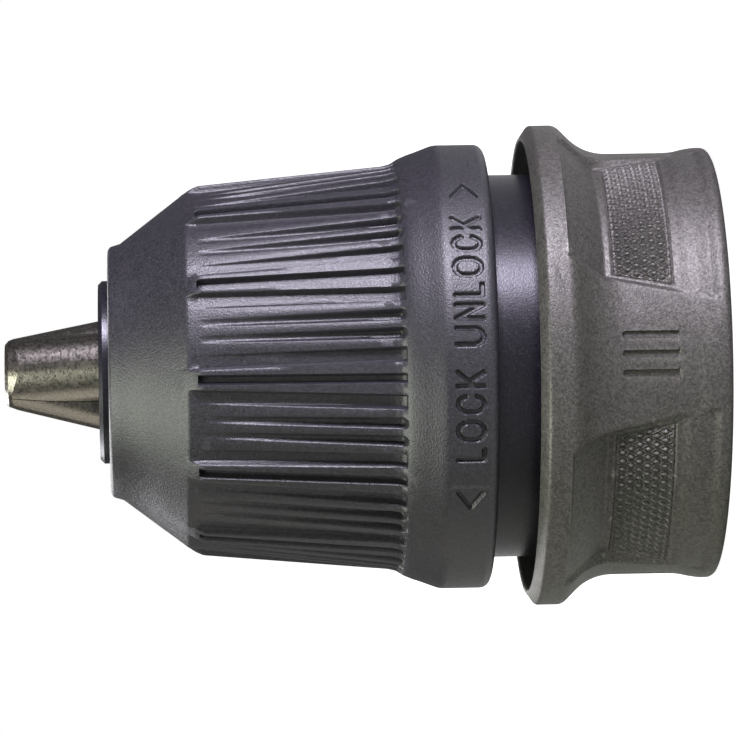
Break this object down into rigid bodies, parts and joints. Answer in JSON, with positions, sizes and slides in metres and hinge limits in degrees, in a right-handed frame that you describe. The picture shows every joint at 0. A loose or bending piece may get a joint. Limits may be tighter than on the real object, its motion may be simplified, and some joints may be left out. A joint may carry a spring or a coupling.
{
  "type": "drill chuck",
  "caption": "Keyless drill chuck with inclined jaws, a turning ribbed sleeve and a sliding quick-release collar at its rear.",
  "frame": {"origin": "centre of the rear face, on the chuck axis", "axes": "+Z along the chuck axis towards the jaws; one jaw lies on the -Y side"},
  "size_m": [0.0488, 0.0486, 0.0714],
  "materials": {
    "coated_sleeve": "satin grey coating on the cone and rim, dark ribbed grip",
    "dark_collar": "gunmetal sparkle coating, fine texture",
    "skirt_black": "smooth black oxide, semi-gloss",
    "jaw_steel": "ground tool steel, worn",
    "black_steel": "blackened machined steel",
    "bright_steel": "polished bearing steel",
    "spring_steel": "drawn spring steel",
    "cage_brass": "stamped brass",
    "seal_felt": "dark pressed felt"
  },
  "bodies": {
    "body": {"chuck_body": "black_steel", "nose_ring": "black_steel", "body_disc": "black_steel", "rear_skirt": "skirt_black", "coupling_hub": "black_steel", "retaining_screw": "black_steel", "sleeve_snap_ring": "spring_steel", "click_spring": "spring_steel", "thrust_race_rear": "bright_steel", "collar_snap_ring": "spring_steel", "spring_seat": "spring_steel", "collar_spring": "spring_steel"},
    "sleeve": {"front_sleeve": "coated_sleeve", "drive_ring": "spring_steel", "nut_half_a": "bright_steel", "nut_half_b": "bright_steel", "nut_band": "spring_steel", "thrust_race_front": "bright_steel"},
    "bearing": {"ball_cage": "cage_brass", "bearing_balls": "bright_steel"},
    "jaw_1": {"jaw_1": "jaw_steel"},
    "jaw_2": {"jaw_2": "jaw_steel"},
    "jaw_3": {"jaw_3": "jaw_steel"},
    "collar": {"locking_collar": "dark_collar", "lock_ring": "bright_steel", "dust_seal": "seal_felt"},
    "lock_ball_1": {"lock_ball_1": "bright_steel"},
    "lock_ball_2": {"lock_ball_2": "bright_steel"},
    "lock_ball_3": {"lock_ball_3": "bright_steel"},
    "lock_ball_4": {"lock_ball_4": "bright_steel"}
  },
  "joints": [
    {"name": "sleeve_turn", "type": "hinge", "parent": "body", "child": "sleeve", "pos_m": [0, 0, 0.042], "axis": [0, 0, 1], "range_deg": [0, 2880]},
    {"name": "bearing_turn", "type": "hinge", "parent": "body", "child": "bearing", "pos_m": [0, 0, 0.032], "axis": [0, 0, 1], "range_deg": [0, 1440]},
    {"name": "jaw_1_slide", "type": "slide", "parent": "body", "child": "jaw_1", "axis": [0, -0.2588, -0.9659], "range_m": [0, 0.01932]},
    {"name": "jaw_2_slide", "type": "slide", "parent": "body", "child": "jaw_2", "axis": [0.2241, 0.1294, -0.9659], "range_m": [0, 0.01932]},
    {"name": "jaw_3_slide", "type": "slide", "parent": "body", "child": "jaw_3", "axis": [-0.2241, 0.1294, -0.9659], "range_m": [0, 0.01932]},
    {"name": "collar_slide", "type": "slide", "parent": "body", "child": "collar", "axis": [0, 0, 1], "range_m": [0, 0.0032], "stiffness_N_per_m": 2500, "springref_m": -0.006, "deforming": ["collar_spring"]},
    {"name": "lock_ball_1_slide", "type": "slide", "parent": "body", "child": "lock_ball_1", "axis": [0.7071, 0.7071, 0], "range_m": [0, 0.00096]},
    {"name": "lock_ball_2_slide", "type": "slide", "parent": "body", "child": "lock_ball_2", "axis": [-0.7071, 0.7071, 0], "range_m": [0, 0.00096]},
    {"name": "lock_ball_3_slide", "type": "slide", "parent": "body", "child": "lock_ball_3", "axis": [-0.7071, -0.7071, 0], "range_m": [0, 0.00096]},
    {"name": "lock_ball_4_slide", "type": "slide", "parent": "body", "child": "lock_ball_4", "axis": [0.7071, -0.7071, 0], "range_m": [0, 0.00096]}
  ],
  "couplings": [
    {"joint": "bearing_turn", "follows": "sleeve_turn", "ratio": 0.5},
    {"joint": "jaw_1_slide", "follows": "sleeve_turn", "m_per_rad": 0.00038433},
    {"joint": "jaw_2_slide", "follows": "sleeve_turn", "m_per_rad": 0.00038433},
    {"joint": "jaw_3_slide", "follows": "sleeve_turn", "m_per_rad": 0.00038433},
    {"joint": "lock_ball_1_slide", "follows": "collar_slide", "ratio": 0.3},
    {"joint": "lock_ball_2_slide", "follows": "collar_slide", "ratio": 0.3},
    {"joint": "lock_ball_3_slide", "follows": "collar_slide", "ratio": 0.3},
    {"joint": "lock_ball_4_slide", "follows": "collar_slide", "ratio": 0.3}
  ]
}
